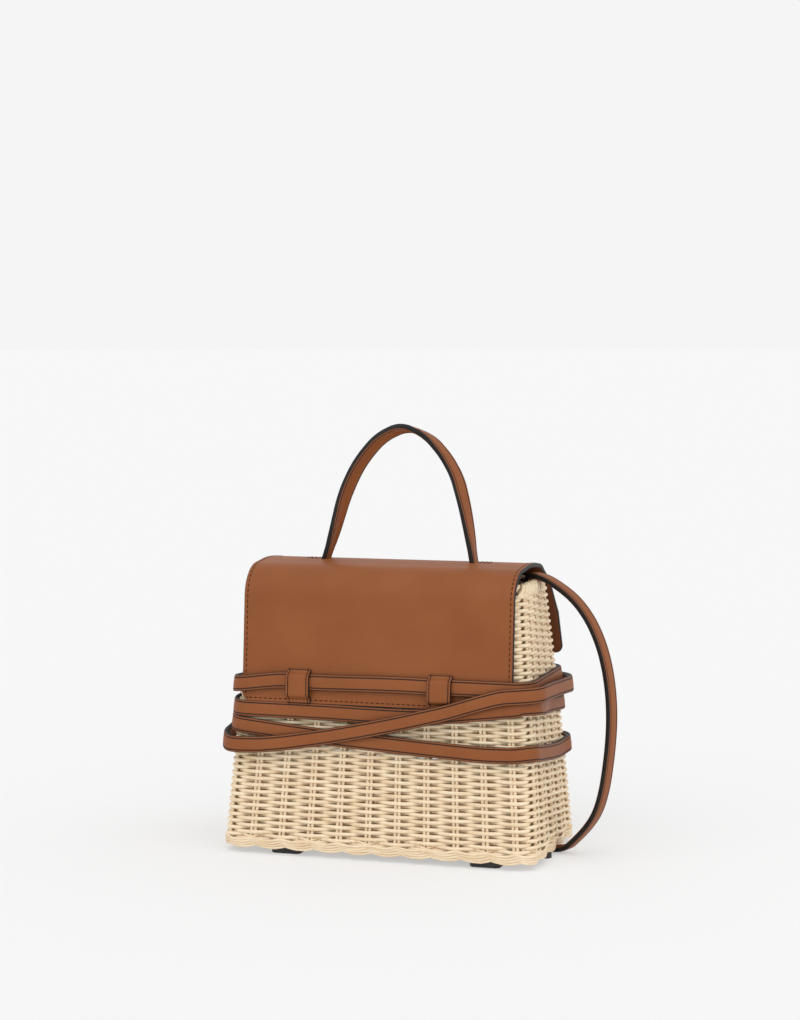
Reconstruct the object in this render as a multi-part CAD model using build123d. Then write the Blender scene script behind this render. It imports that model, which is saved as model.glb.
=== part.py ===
"""Basket box bag: a woven cane box with a leather flap, a top handle, two belt loops,
a long belt wound four times round the body, a shoulder strap and four foot pads.

Millimetres. The origin is on the floor under the middle of the basket, +X to the bag's
right, +Y to its back and +Z up.
"""
from build123d import *
import os
from math import asin, atan2, ceil, cos, degrees, hypot, pi, radians, sin, tan

# The basket's outline: a rounded rectangle that gets smaller with height.
BASE_W = 260.0  # width over the weave at floor level
BASE_D = 133.0  # depth over the weave at floor level
SIDE_LEAN = 0.0751  # how far each end wall leans in, per mm of height
FRONT_LEAN = 0.1143  # how far the front and back walls lean in, per mm of height
CORNER_R = 14.0

# Stakes: upright cane pairs that the weave goes round.
STAKE_Z = 35.0  # the height at which the stakes were spaced
FIRST_STAKE = 12.4  # from the front wall's left corner to its first stake
FRONT_PITCH = 23.76
FRONT_STAKES = 10
OTHER_STAKES = 20  # spread evenly over the rest of the outline

# The woven wall
WALL_BOTTOM = 11.0
WALL_TOP = 209.0
WALL_THICK = 7.0
ROWS = 48
SWELL = 2.6  # how far a row stands out where it passes in front of a stake
GROOVE = 2.1  # how deep the wall's lower and upper edges lie
GAP_W = 3.0
GAP_H = 3.0
GAP_ROWS = 2  # openings beside each stake, up the height of the wall

# Borders and base
BORDER_LOW = 4.6  # underside of the foot border at its dips
BORDER_RISE = 2.2  # how much higher its underside is between the dips
BORDER_SWELL = 1.2
BORDER_DEPTH = 10.0
DIP_SHIFT = 3.0  # the dips lie this far to the right of the stakes
RIM_TOP = 217.3
RIM_DIP = 2.0
RIM_INSET = 1.0
RIM_DEPTH = 7.4
BASE_THICK = 4.0
BASE_RIBS = 11
BASE_RIB = 1.0
FIT = 0.3  # clearance between pieces that are pushed together

# Leather
FLAP_THICK = 3.2
FLAP_HALF = 111.2
FLAP_GAP = 0.5  # between the weave and the leather
FLAP_LOW = 123.4  # lower edge of the front panel
FLAP_CORNER = 7.0
ARCH_EDGE = 227.0  # height where the lines of the front panel and the top would meet
ARCH_PROUD = 1.6  # the front panel stands off more at the top than at its lower edge
ARCH_CROWN = 232.0  # height where the two lines of the top would meet
ARCH_R = 22.0
CROWN_R = 120.0
TAIL_BEND = 190.0  # the tail lies along the back wall down to here
TAIL_BEND_R = 60.0
TAIL_LOW = 151.0
TAIL_FLARE = 10.0
TAIL_SHOULDER = 222.0  # the tail widens below here
TAIL_MID_HALF = 120.5
TAIL_MID_Z = 187.0
TAIL_END_HALF = 124.0
TAIL_CORNER = 6.0

# Straps: the belt, the shoulder strap and the handle share one width.
STRAP_W = 13.0
STRAP_T = 3.5

# Top handle: a bent strap whose outside goes through these places (X, Z)
HANDLE_T = 3.6
HANDLE_FEET = (-63.3, 65.2)  # X of the outside where the two legs turn out under the flap
HANDLE_OUTSIDE = [
    (-53.9, 251.4),
    (-43.6, 283.2),
    (-31.2, 308.5),
    (-14.0, 329.0),
    (6.2, 339.5),
    (27.0, 331.0),
    (41.1, 315.0),
    (50.3, 298.5),
    (57.0, 273.7),
    (61.5, 250.9),
]
HANDLE_TAIL = 26.0  # length of each end, turned outwards under the flap
HANDLE_BEND_R = 1.0
SLIT_CLEAR = 0.35

# Belt loops: standing bands on the flap that the belt passes behind
LOOP_W = 19.5
LOOP_MIDDLES = {"loop_left": -64.5, "loop_right": 52.2}
LOOP_T = 2.0
LOOP_STAND = 4.4  # room behind a loop's middle
LOOP_LOW = 124.4
LOOP_HIGH = 150.2
LOOP_SEAM = 3.4  # height of the sewn end at the bottom
LOOP_FOLD = 1.6  # height of the sewn end at the top
LOOP_RAMP = 2.4
LOOP_R = 1.2
SEAT = 0.15  # between a sewn piece and the leather under it

# The wrap belt goes four times round. Each place is a wall, the distance along it from the
# wall's middle in the belt's direction, the height of the belt's middle and how far its
# inside stands off the weave.
FRONT, RIGHT, BACK, LEFT = range(4)
BELT_FOOT = (260.0, 133.0)  # the foot's width and depth that the places were measured on
BELT_STEP = 40.0
BELT_PLACES = [
    (BACK, 0, 135.0, 0.8),
    (LEFT, 0, 134.5, 0.8),
    (FRONT, -119, 132.9, 2.6),
    (FRONT, -112, 134.5, 5.5),
    (FRONT, -103, 136.0, 4.4),
    (FRONT, -74, 138.8, 4.2),
    (FRONT, -54, 138.0, 4.2),
    (FRONT, 20, 138.9, 4.2),
    (FRONT, 62, 138.5, 4.2),
    (FRONT, 103, 138.5, 4.4),
    (FRONT, 112, 138.4, 5.5),
    (RIGHT, -45, 137.8, 1.2),
    (RIGHT, 45, 138.5, 1.0),
    (BACK, -60, 137.0, 4.0),
    (BACK, -15, 133.0, 5.0),
    (BACK, 80, 127.0, 5.0),
    (LEFT, -40, 122.5, 5.0),
    (LEFT, 0, 119.0, 0.8),
    (LEFT, 40, 117.4, 0.8),
    (FRONT, -120, 116.3, 0.8),
    (FRONT, -53, 114.6, 0.8),
    (FRONT, 20, 113.7, 0.8),
    (FRONT, 46, 115.4, 4.4),
    (FRONT, 59, 117.2, 4.4),
    (FRONT, 89, 121.0, 4.4),
    (FRONT, 103, 122.8, 4.5),
    (FRONT, 112, 124.4, 5.5),
    (RIGHT, -50, 125.5, 5.0),
    (RIGHT, -30, 122.8, 4.4),
    (RIGHT, 0, 119.8, 0.8),
    (RIGHT, 43, 116.3, 0.8),
    (BACK, -90, 115.0, 0.8),
    (BACK, 90, 110.5, 0.8),
    (LEFT, -40, 107.5, 0.8),
    (LEFT, 40, 103.6, 0.8),
    (FRONT, -121, 102.8, 0.8),
    (FRONT, -38, 95.0, 0.8),
    (FRONT, 20, 91.5, 0.8),
    (FRONT, 58, 89.4, 0.8),
    (FRONT, 91, 88.1, 0.8),
    (FRONT, 109, 88.5, 0.8),
    (RIGHT, -52, 89.5, 0.8),
    (RIGHT, -32, 86.6, 0.8),
    (RIGHT, 30, 80.8, 0.8),
    (RIGHT, 52, 82.6, 3.0),
    (BACK, -90, 83.5, 0.8),
    (BACK, 0, 90.0, 0.8),
    (BACK, 60, 97.0, 5.0),
    (BACK, 95, 100.5, 5.0),
    (LEFT, -40, 103.0, 5.6),
    (LEFT, 0, 96.5, 10.0),
    (LEFT, 45, 89.5, 8.0),
    (FRONT, -116, 87.0, 7.0),
    (FRONT, -101, 87.2, 5.0),
    (FRONT, -79, 89.4, 5.0),
    (FRONT, -60, 93.6, 5.0),
    (FRONT, -34, 96.5, 5.0),
    (FRONT, 22, 109.0, 5.4),
    (FRONT, 38, 114.0, 8.0),
    (FRONT, 59, 119.8, 8.4),
    (FRONT, 86, 128.0, 8.4),
    (FRONT, 103, 131.8, 8.6),
    (FRONT, 112, 134.3, 9.4),
    (RIGHT, -45, 138.3, 9.2),
    (RIGHT, 16, 133.6, 9.0),
    (RIGHT, 44, 131.9, 9.2),
    (BACK, -90, 131.0, 9.5),
    (BACK, -60, 131.0, 9.5),
]

# Shoulder strap: places of its middle (X, Y, Z) and the way its width points there, in
# degrees from +X: from inside the right wall, over the rim, down to the floor, under the
# bag's back corner, round behind the bag and up over the left wall.
STRAP_ROUTE = [
    (104.6, 18.0, 187.0, 75),
    (102.5, 17.9, 203.0, 75),
    (102.8, 17.7, 220.6, 75),
    (113.4, 15.1, 219.6, 75),
    (124.3, 12.2, 215.4, 75),
    (142.5, 7.3, 204.2, 75),
    (156.0, 3.7, 188.6, 75),
    (165.1, 1.2, 170.8, 75),
    (170.6, -0.2, 152.9, 75),
    (174.0, -1.1, 132.7, 75),
    (175.1, -1.5, 112.3, 75),
    (174.1, -1.2, 91.3, 75),
    (171.1, -0.4, 67.4, 75),
    (168.2, 0.4, 51.7, 75),
    (163.0, 1.8, 35.0, 75),
    (154.2, 4.2, 21.9, 75),
    (144.5, 6.8, 11.6, 75),
    (135.4, 9.2, 3.0, 75),
    (118.0, 14.0, 1.9, 74),
    (97.0, 21.5, 1.9, 60),
    (80.0, 34.0, 1.9, 45),
    (66.0, 54.0, 1.9, 30),
    (56.0, 79.0, 1.9, 35),
    (40.0, 106.0, 1.9, 45),
    (14.0, 127.0, 1.9, 65),
    (-18.0, 137.0, 1.9, 85),
    (-50.0, 136.0, 1.9, 105),
    (-80.0, 126.0, 1.9, 120),
    (-104.0, 111.0, 3.2, 135),
    (-121.0, 97.0, 9.0, 150),
    (-131.0, 84.0, 24.0, 165),
    (-136.0, 73.0, 47.0, 180),
    (-138.0, 63.0, 77.0, 195),
    (-138.0, 53.0, 110.0, 210),
    (-136.0, 42.0, 144.0, 225),
    (-132.0, 31.0, 175.0, 240),
    (-125.0, 22.0, 200.0, 250),
    (-116.0, 16.5, 218.4, 260),
    (-103.9, 13.0, 220.9, 268),
    (-103.4, 12.4, 203.0, 270),
    (-105.4, 12.0, 187.0, 270),
]
ARC_SHARE = 0.45  # of the shorter run beside a corner, taken by its arc
ARC_STEP = 30.0  # degrees of bend between two sections of the strap

# Foot pads: which end (-1 left, 1 right), how far in from that end of the foot and from the
# foot's front, and the turn in degrees
PAD_W = 24.0
PAD_D = 20.0
PAD_CUT = 2.5  # across each corner
PAD_SEAT = 0.1  # between a pad and the lowest strands of the border above it
PADS = {
    "foot_front_left": (-1, 53.0, 18.5, 0.0),
    "foot_front_right": (1, 42.2, 17.5, 0.0),
    "foot_back_right": (1, 14.9, 59.6, 17.0),
    "foot_back_left": (-1, 53.0, 115.5, 0.0),
}


def half_sizes(z):
    """Half the width and half the depth of the basket at height z."""
    return BASE_W / 2 - SIDE_LEAN * z, BASE_D / 2 - FRONT_LEAN * z


FLATS = [2 * (h - CORNER_R) for h in half_sizes(STAKE_Z)] * 2
ARC = CORNER_R * pi / 2
OUTLINE = sum(FLATS) + 4 * ARC


def side_starts():
    """Where each of the four walls begins along the outline: front, right, back, left."""
    starts, s = [], 0.0
    for flat in FLATS:
        starts.append(s)
        s += flat + ARC
    return starts


def around(s, z, out=0.0):
    """The point at s along the outline, at height z, out millimetres outside it."""
    half_w, half_d = half_sizes(z)
    x, y = half_w - CORNER_R, half_d - CORNER_R
    centres = [(x, -y), (x, y), (-x, y), (-x, -y)]
    s %= OUTLINE
    for side, flat in enumerate(FLATS):
        facing = radians(90 * side - 90)
        begin, end = centres[side - 1], centres[side]
        share = min(s / flat, 1.0)
        if s > flat:
            facing += (s - flat) / ARC * pi / 2
        if s <= flat + ARC:
            x = begin[0] + (end[0] - begin[0]) * share + (CORNER_R + out) * cos(facing)
            y = begin[1] + (end[1] - begin[1]) * share + (CORNER_R + out) * sin(facing)
            return Vector(x, y, z)
        s -= flat + ARC
    return around(0.0, z, out)


def outward(s, z):
    """The level direction that faces away from the basket at s."""
    return (around(s, z, 1.0) - around(s, z)).normalized()


def stake_places():
    """How far along the outline each stake pair stands."""
    front = [FIRST_STAKE + FRONT_PITCH * k for k in range(FRONT_STAKES)]
    pitch = (OUTLINE - front[-1] + front[0]) / (OTHER_STAKES + 1)
    return front + [front[-1] + pitch * (k + 1) for k in range(OTHER_STAKES)]


STAKES = stake_places()


def corner_places(shares):
    """Places on the four round corners, each corner at the same shares of its arc."""
    return [
        start + flat + share * ARC
        for start, flat in zip(side_starts(), FLATS)
        for share in shares
    ]


def wall_stations():
    """Where the wall's rows have a point: at every stake, and three times on each corner."""
    places = sorted(s % OUTLINE for s in [*STAKES, *corner_places((1 / 6, 1 / 2, 5 / 6))])
    return [s for k, s in enumerate(places) if k == 0 or s - places[k - 1] > 1.0]


def over_under(s, row):
    """1 where a row passes in front of the nearest stake and 0 where it goes behind."""
    closed = [*STAKES, STAKES[0] + OUTLINE]
    s = s if s >= STAKES[0] else s + OUTLINE
    for k, (a, b) in enumerate(zip(closed, closed[1:])):
        if s <= b + 1e-6:
            share = (s - a) / (b - a)
            return share if (k + row) % 2 else 1 - share
    return 0.0


def level_outline(z, inset):
    """A plain closed outline at height z, inset from the weave's outside."""
    half_w, half_d = (h - inset for h in half_sizes(z))
    return Pos(0, 0, z) * RectangleRounded(2 * half_w, 2 * half_d, CORNER_R - inset)


def tapered_block(low, high, inset):
    """A solid that follows the basket's walls between two heights."""
    return loft([level_outline(low, inset).face(), level_outline(high, inset).face()])


def facets(p, q, r, s):
    """A four-cornered patch as two flat faces, creased inwards along its lower diagonal."""
    outwards = (q - p).cross(s - p)
    if ((p + r) - (q + s)).dot(outwards) > 0:
        corners = ((p, q, s), (q, r, s))
    else:
        corners = ((p, q, r), (p, r, s))
    return [Face(Wire.make_polygon(three, close=True)) for three in corners]


def faceted(rings):
    """A closed solid of flat facets through closed rings, the last joined to the first."""
    faces = []
    for lower, upper in zip(rings, [*rings[1:], rings[0]]):
        for k, point in enumerate(lower):
            after = (k + 1) % len(lower)
            faces += facets(point, lower[after], upper[after], upper[k])
    return Solid(Shell(faces))


def ring(sections):
    """A closed ring through sections that go once round the outline."""
    return faceted([section[::-1] for section in sections])


def row_height(row):
    return WALL_BOTTOM + (row + 0.5) * (WALL_TOP - WALL_BOTTOM) / ROWS


def basket_wall():
    """The woven wall: rows that bulge over every other stake, with gaps beside stakes."""
    stations = wall_stations()
    rings = [[around(s, WALL_BOTTOM, -GROOVE) for s in stations]]
    for row in range(ROWS):
        rings.append(
            [around(s, row_height(row), -SWELL * (1 - over_under(s, row))) for s in stations]
        )
    rings.append([around(s, WALL_TOP, -GROOVE) for s in stations])
    rings += [[around(s, z, -WALL_THICK) for s in stations] for z in (WALL_TOP, WALL_BOTTOM)]
    wall = faceted(rings)
    gaps = []
    for k, s in enumerate(STAKES):
        for gap in range(GAP_ROWS):
            row = (2 * gap + 1) * ROWS // (2 * GAP_ROWS) + k % 2
            beside = s + FRONT_PITCH / 4
            z = row_height(row)
            at = around(beside, z, -WALL_THICK / 2)
            facing = outward(beside, z)
            plane = Plane(origin=at, x_dir=(-facing.Y, facing.X, 0), z_dir=facing)
            gaps.append(plane * Box(GAP_W, GAP_H, 2 * WALL_THICK))
    return wall - gaps


def foot_border():
    """The rope-like border that closes the foot, dipping once for each stake."""
    sections = []
    high = WALL_BOTTOM
    for k, s in enumerate(STAKES):
        following = STAKES[(k + 1) % len(STAKES)] + (OUTLINE if k == len(STAKES) - 1 else 0)
        pitch = following - s
        for share in (0.0, 0.25, 0.5, 0.75):
            dip = 0.5 + 0.5 * cos(2 * pi * share)
            place = s + DIP_SHIFT + share * pitch
            low = BORDER_LOW + BORDER_RISE * (1 - dip)
            swell = BORDER_SWELL * dip
            middle = (low + high) / 2
            outer_foot = around(place, low, -1.5 + swell)
            outer_mid = around(place, middle, swell)
            outer_top = around(place, high, -GROOVE)
            inner_top = around(place, high, -BORDER_DEPTH)
            inner_foot = around(place, low + 1.0, -BORDER_DEPTH)
            sections.append([outer_foot, outer_mid, outer_top, inner_top, inner_foot])
    return ring(sections)


def rim_border():
    """The folded border along the top edge, with two slanting bumps for each stake."""
    sections = []
    low = WALL_TOP
    for k, s in enumerate(STAKES):
        following = STAKES[(k + 1) % len(STAKES)] + (OUTLINE if k == len(STAKES) - 1 else 0)
        pitch = following - s
        for share in (0.0, 0.25, 0.5, 0.75):
            bump = 1.0 if share in (0.25, 0.75) else 0.0
            place = s + share * pitch
            crest = RIM_TOP - RIM_DIP * (1 - bump)
            out = -RIM_INSET - 0.8 * (1 - bump)
            sections.append(
                [
                    around(place, low, -RIM_INSET - 0.6),
                    around(place, low + 3.2, out),
                    around(place, crest - 1.6, out - 0.8),
                    around(place, crest, out - 3.2),
                    around(place, crest - 1.0, -RIM_INSET - RIM_DEPTH + 1.6),
                    around(place, low, -RIM_INSET - RIM_DEPTH + 1.4),
                ]
            )
    return ring(sections)


def base_panel():
    """The woven bottom: a thin panel with ribs along it, lying on the foot border."""
    inset = WALL_THICK + FIT
    top = WALL_BOTTOM + BASE_THICK
    panel = tapered_block(WALL_BOTTOM, top, inset)
    half_w, half_d = (h - inset - CORNER_R for h in half_sizes(top))
    spacing = 2 * half_d / (BASE_RIBS - 1)
    rib = Rot(45, 0, 0) * Box(2 * half_w, 2 * BASE_RIB, 2 * BASE_RIB)
    ribs = [Pos(0, -half_d + k * spacing, top - BASE_RIB / 2) * rib for k in range(BASE_RIBS)]
    return panel + ribs


def offset_places(places, amount):
    """The corners of a line of straight runs moved amount to its left."""
    runs = []
    for (x0, y0), (x1, y1) in zip(places, places[1:]):
        length = hypot(x1 - x0, y1 - y0)
        runs.append(((x1 - x0) / length, (y1 - y0) / length))
    moved = []
    for k, (x, y) in enumerate(places):
        before, after = runs[max(k - 1, 0)], runs[min(k, len(runs) - 1)]
        share = amount / (1 + before[0] * after[0] + before[1] * after[1])
        moved.append((x - share * (before[1] + after[1]), y + share * (before[0] + after[0])))
    return moved


def corner_turns(places):
    """How far each inner corner turns, in radians, positive to the left."""
    found = []
    for (x0, y0), (x1, y1), (x2, y2) in zip(places, places[1:], places[2:]):
        angle = atan2(y2 - y1, x2 - x1) - atan2(y1 - y0, x1 - x0)
        found.append((angle + pi) % (2 * pi) - pi)
    return found


def gentle_radii(places):
    """The largest smooth arc radius for each inner corner of a route."""
    points = [Vector(*place) for place in places]
    found = []
    for a, b, c in zip(points, points[1:], points[2:]):
        run = ARC_SHARE * min((b - a).length, (c - b).length)
        found.append(run / tan(radians((b - a).get_angle(c - b)) / 2))
    return found


def sheet_face(places, radii, thickness):
    """A bent sheet seen from its end: one side runs through places, the other to its left."""
    bends = zip(radii, corner_turns(places))
    other = [radius - thickness * (1 if turn > 0 else -1) for radius, turn in bends]
    near = FilletPolyline([Vector(*place) for place in places], radius=radii)
    far_places = offset_places(places, thickness)
    far = FilletPolyline([Vector(*place) for place in far_places], radius=other)
    ends = [Line(near @ 0, far @ 0), Line(near @ 1, far @ 1)]
    return make_face([*near.edges(), *far.edges(), *ends])


def ribbon(sections):
    """A flat band through four-cornered sections."""
    wires = [Wire.make_polygon(points, close=True) for points in sections]
    return Solid.make_loft(wires, ruled=True)


def flap_front_y(z):
    """Y of the front panel's outside at height z."""
    lift = FLAP_GAP + FLAP_THICK + ARCH_PROUD * (z - FLAP_LOW) / (ARCH_EDGE - FLAP_LOW)
    return -half_sizes(z)[1] - lift


def flap_face():
    """The flap seen from its end: tail, arch and front panel, a little long at both ends."""
    arch_back = -flap_front_y(ARCH_EDGE)
    bend_y = half_sizes(TAIL_BEND)[1] + FLAP_GAP + FLAP_THICK
    slope = TAIL_FLARE / (TAIL_BEND - TAIL_LOW)
    spare = 2 * FLAP_THICK
    places = [
        (bend_y + TAIL_FLARE + slope * spare, TAIL_LOW - spare),
        (bend_y, TAIL_BEND),
        (arch_back, ARCH_EDGE),
        (0, ARCH_CROWN),
        (-arch_back, ARCH_EDGE),
        (flap_front_y(FLAP_LOW - spare), FLAP_LOW - spare),
    ]
    radii = [TAIL_BEND_R, ARCH_R, CROWN_R, ARCH_R]
    return Plane.YZ * sheet_face(places, radii, FLAP_THICK)


def flap_cutter(corners, low, radius, towards):
    """A block as deep as the bag whose lower corners are rounded, seen from the front."""
    outline = [*corners, *[(-x, z) for x, z in reversed(corners)]]
    face = make_face(Polyline(outline, close=True).edges())
    face = fillet([v for v in face.vertices() if v.Y < low + 1e-3], radius)
    return extrude(Plane.XZ * face, amount=BASE_D, dir=(0, towards, 0))


def flap_cutters():
    """The outlines that trim the front panel with the arch, and the tail."""
    above = 2 * ARCH_CROWN
    front = [(FLAP_HALF, FLAP_LOW), (FLAP_HALF, above)]
    slope = (TAIL_END_HALF - TAIL_MID_HALF) / (TAIL_MID_Z - TAIL_LOW)
    back = [
        (TAIL_MID_HALF + slope * (TAIL_MID_Z - TAIL_LOW), TAIL_LOW),
        (TAIL_MID_HALF, TAIL_MID_Z),
        (FLAP_HALF, TAIL_SHOULDER),
        (FLAP_HALF, above),
    ]
    return flap_cutter(front, FLAP_LOW, FLAP_CORNER, -1), flap_cutter(back, TAIL_LOW, TAIL_CORNER, 1)


def handle_places():
    """The outside of the handle from the end of one tail to the end of the other."""
    seat_z = ARCH_CROWN - crown_drop() - FLAP_THICK - FIT
    left, right = HANDLE_FEET
    return [
        (left - HANDLE_TAIL, seat_z),
        (left, seat_z),
        *HANDLE_OUTSIDE,
        (right, seat_z),
        (right + HANDLE_TAIL, seat_z),
    ]


def crown_drop():
    """How far the rounded crown, at the edge of the handle, lies below its two lines."""
    slope = atan2(ARCH_CROWN - ARCH_EDGE, -flap_front_y(ARCH_EDGE))
    middle = CROWN_R * (1 / cos(slope) - 1)
    return middle + STRAP_W**2 / 8 / (CROWN_R - FLAP_THICK)


def handle_slits():
    """The two slits in the flap that the handle's legs go through."""
    places = handle_places()
    slits = []
    for foot, above, side in ((places[1], places[2], 1), (places[-2], places[-3], -1)):
        lean = degrees(atan2(above[0] - foot[0], above[1] - foot[1]))
        slot = Box(HANDLE_T + 2 * SLIT_CLEAR, STRAP_W + 2 * SLIT_CLEAR, 6 * FLAP_THICK)
        slot = Pos(side * HANDLE_T / 2, 0, 3 * FLAP_THICK) * slot
        slits.append(Pos(foot[0], 0, foot[1]) * Rot(0, lean, 0) * slot)
    return slits


def flap():
    """One sheet: front panel, arch over the opening and a wider tail down the back."""
    sheet = extrude(flap_face(), amount=TAIL_END_HALF, dir=(1, 0, 0), both=True)
    front, back = flap_cutters()
    return (sheet & (front + back)) - handle_slits()


def top_handle():
    """A bent strap whose ends pass the flap's slits and turn outwards under it."""
    places = handle_places()
    radii = gentle_radii(places)
    radii[0] = radii[-1] = HANDLE_BEND_R
    face = Plane.XZ * sheet_face(places, radii, -HANDLE_T)
    return extrude(face, amount=STRAP_W / 2, dir=(0, 1, 0), both=True)


def belt_loop(middle):
    """A standing band, sewn to the flap at its two ends."""
    sewn, proud = SEAT + LOOP_T, LOOP_STAND + LOOP_T
    low_seam, high_seam = LOOP_LOW + LOOP_SEAM, LOOP_HIGH - LOOP_FOLD
    outside = [
        (sewn, LOOP_HIGH),
        (sewn, high_seam),
        (proud, high_seam - LOOP_RAMP),
        (proud, low_seam + LOOP_RAMP),
        (sewn, low_seam),
        (sewn, LOOP_LOW),
    ]
    places = [(flap_front_y(z) - out, z) for out, z in outside]
    radii = [LOOP_R, LOOP_R + LOOP_T, LOOP_R + LOOP_T, LOOP_R]
    face = Plane.YZ * sheet_face(places, radii, LOOP_T)
    return Pos(middle, 0, 0) * extrude(face, amount=LOOP_W / 2, dir=(1, 0, 0), both=True)


def place_on_wall(wall, along, z):
    """How far round the outline a place lies, given its distance from a wall's middle."""
    lean = (SIDE_LEAN, FRONT_LEAN)[wall % 2]
    half = BELT_FOOT[wall % 2] / 2 - lean * z - CORNER_R
    start = side_starts()[wall]
    past = abs(along) - half
    if past <= 0:
        return start + (along / half + 1) / 2 * FLATS[wall]
    bend = asin(min(past / CORNER_R, 1.0)) / (pi / 2) * ARC
    return start + FLATS[wall] + bend if along > 0 else start - bend


def belt_stations():
    """Stations of the belt as (place round the outline, height, stand-off)."""
    keys, lap, last_wall = [], 0, BACK
    for wall, along, z, lift in BELT_PLACES:
        if wall < last_wall:
            lap += 1
        last_wall = wall
        keys.append((place_on_wall(wall, along, z) + lap * OUTLINE, z, lift))
    bends = []
    for start, flat in zip(side_starts(), FLATS):
        bends += [start + flat + ARC * share for share in (0, 0.25, 0.5, 0.75, 1)]
    corners = [s + turn * OUTLINE for turn in range(lap + 2) for s in bends]
    stations = []
    for (s0, z0, lift0), (s1, z1, lift1) in zip(keys, keys[1:]):
        between = [s for s in corners if s0 + 1 < s < s1 - 1]
        steps = int((s1 - s0) // BELT_STEP)
        between += [s0 + (s1 - s0) * k / (steps + 1) for k in range(1, steps + 1)]
        for s in [s0, *sorted(between)]:
            share = (s - s0) / (s1 - s0)
            if not stations or s - stations[-1][0] > 1:
                stations.append((s, z0 + (z1 - z0) * share, lift0 + (lift1 - lift0) * share))
    return [*stations, keys[-1]]


def wrap_belt():
    """The belt: wound four times round the basket, through the loops and over itself."""
    sections = []
    for s, z, lift in belt_stations():
        low, high = z - STRAP_W / 2, z + STRAP_W / 2
        sections.append(
            [
                around(s, low, lift),
                around(s, high, lift),
                around(s, high, lift + STRAP_T),
                around(s, low, lift + STRAP_T),
            ]
        )
    return ribbon(sections)


def strap_path():
    """The middle line of the shoulder strap: straight runs joined by tangent arcs."""
    places = [place[:3] for place in STRAP_ROUTE]
    return FilletPolyline([Vector(*place) for place in places], radius=gentle_radii(places))


def between(value, xs, ys):
    """The value of y that goes with value on the line of straight runs through (x, y)."""
    for x0, x1, y0, y1 in zip(xs, xs[1:], ys, ys[1:]):
        if value <= x1:
            return y0 + (y1 - y0) * (value - x0) / (x1 - x0)
    return ys[-1]


def shoulder_strap():
    """The strap as a flat band whose width stays square to its path."""
    path = strap_path()
    places = [Vector(*place[:3]) for place in STRAP_ROUTE]
    headings = [radians(place[3]) for place in STRAP_ROUTE]
    corners = [0.0]
    for a, b in zip(places, places[1:]):
        corners.append(corners[-1] + (b - a).length)
    stations = [0.0]
    for edge in path.edges().sort_by(path):
        steps = ceil(max((edge % 0).get_angle(edge % 1), 1) / ARC_STEP)
        stations += [stations[-1] + edge.length / steps * (k + 1) for k in range(steps)]
    sections = []
    for station in stations:
        share = station / stations[-1]
        heading = between(share * corners[-1], corners, headings)
        middle, ahead = path @ share, path % share
        width = Vector(cos(heading), sin(heading), 0)
        width = (width - ahead * width.dot(ahead)).normalized() * STRAP_W / 2
        face = ahead.cross(width).normalized() * STRAP_T / 2
        near, far = middle + width, middle - width
        sections.append([near + face, far + face, far - face, near - face])
    return ribbon(sections)


def foot_pad(end, from_end, from_front, turn):
    """A flat pad with cut corners, glued under the foot border."""
    face = chamfer(Rectangle(PAD_W, PAD_D).vertices(), PAD_CUT)
    pad = extrude(face, amount=BORDER_LOW - PAD_SEAT)
    x = end * (BASE_W / 2 - from_end)
    y = from_front - BASE_D / 2
    return Pos(x, y, 0) * Rot(0, 0, turn) * pad


def build():
    """Every piece of the bag, by name."""
    pieces = {
        "basket_wall": basket_wall(),
        "foot_border": foot_border(),
        "rim_border": rim_border(),
        "base_panel": base_panel(),
        "flap": flap(),
        "top_handle": top_handle(),
        "wrap_belt": wrap_belt(),
        "shoulder_strap": shoulder_strap(),
    }
    for name, middle in LOOP_MIDDLES.items():
        pieces[name] = belt_loop(middle)
    for name, place in PADS.items():
        pieces[name] = foot_pad(*place)
    return pieces


if __name__ == "__main__":
    os.makedirs("parts", exist_ok=True)
    for name, piece in build().items():
        export_step(piece, f"parts/{name}.step")
    radii = gentle_radii([place[:3] for place in STRAP_ROUTE])
    print("shoulder strap:", round(strap_path().length), "mm, arc radii", *map(round, radii))
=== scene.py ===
"""The basket box bag dressed for its picture: woven cane, brown leather and black pads."""
from math import acos, asin, cos, pi, radians, sin, sqrt, tan

import bpy
from mathutils import Matrix, Vector
from mathutils.noise import noise


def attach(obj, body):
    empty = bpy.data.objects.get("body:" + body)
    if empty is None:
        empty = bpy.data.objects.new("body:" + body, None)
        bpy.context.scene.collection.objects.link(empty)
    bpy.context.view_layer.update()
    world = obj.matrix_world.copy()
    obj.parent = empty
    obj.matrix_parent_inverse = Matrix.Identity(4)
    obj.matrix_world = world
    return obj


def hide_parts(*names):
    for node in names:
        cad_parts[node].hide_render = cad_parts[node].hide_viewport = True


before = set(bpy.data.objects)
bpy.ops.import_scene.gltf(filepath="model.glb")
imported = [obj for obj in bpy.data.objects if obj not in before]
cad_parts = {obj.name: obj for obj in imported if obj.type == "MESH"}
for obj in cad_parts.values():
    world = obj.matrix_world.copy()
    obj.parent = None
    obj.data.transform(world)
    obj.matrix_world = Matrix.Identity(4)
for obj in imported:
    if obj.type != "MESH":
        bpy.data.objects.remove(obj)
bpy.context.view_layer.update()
MM = 0.001


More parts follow.
